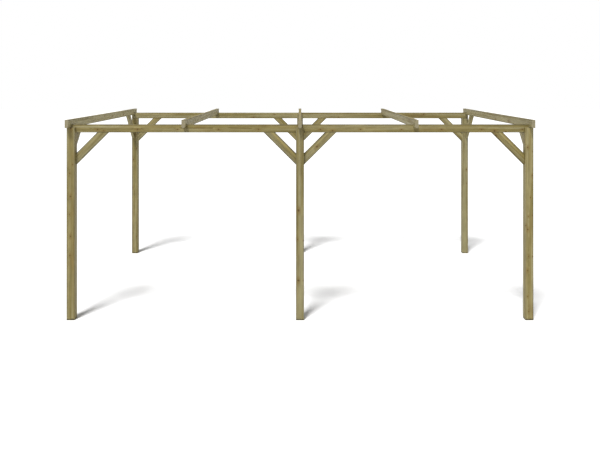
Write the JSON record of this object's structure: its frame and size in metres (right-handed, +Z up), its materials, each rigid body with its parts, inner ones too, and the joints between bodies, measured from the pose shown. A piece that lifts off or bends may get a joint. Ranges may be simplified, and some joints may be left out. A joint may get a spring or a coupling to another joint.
{
  "type": "timber carport frame",
  "caption": "Open carport frame of treated softwood: square posts in two rows, rebated beams, rafters notched over them and mitred knee braces, with no roofing laid on it.",
  "frame": {"origin": "on the ground, under the middle of the frame", "axes": "+X along the beams to the right, +Y across the frame from the front row to the rear row, +Z up"},
  "size_m": [5.82, 3.54, 2.5],
  "materials": {
    "post_timber": "planed, pressure-treated, unpainted",
    "beam_timber": "planed, pressure-treated, unpainted",
    "rafter_timber": "planed, pressure-treated, unpainted",
    "brace_timber": "planed, pressure-treated, unpainted"
  },
  "bodies": {
    "root": {"front_left_post": "post_timber", "front_centre_post": "post_timber", "front_right_post": "post_timber", "rear_left_post": "post_timber", "rear_centre_post": "post_timber", "rear_right_post": "post_timber", "front_beam_left": "beam_timber", "front_beam_right": "beam_timber", "rear_beam_left": "beam_timber", "rear_beam_right": "beam_timber", "left_end_rafter": "rafter_timber", "left_middle_rafter": "rafter_timber", "centre_rafter": "rafter_timber", "right_middle_rafter": "rafter_timber", "right_end_rafter": "rafter_timber", "front_left_brace": "brace_timber", "front_centre_left_brace": "brace_timber", "front_centre_right_brace": "brace_timber", "front_right_brace": "brace_timber", "rear_left_brace": "brace_timber", "rear_centre_left_brace": "brace_timber", "rear_centre_right_brace": "brace_timber", "rear_right_brace": "brace_timber", "front_left_side_brace": "brace_timber", "front_right_side_brace": "brace_timber", "rear_left_side_brace": "brace_timber", "rear_right_side_brace": "brace_timber"}
  },
  "joints": []
}
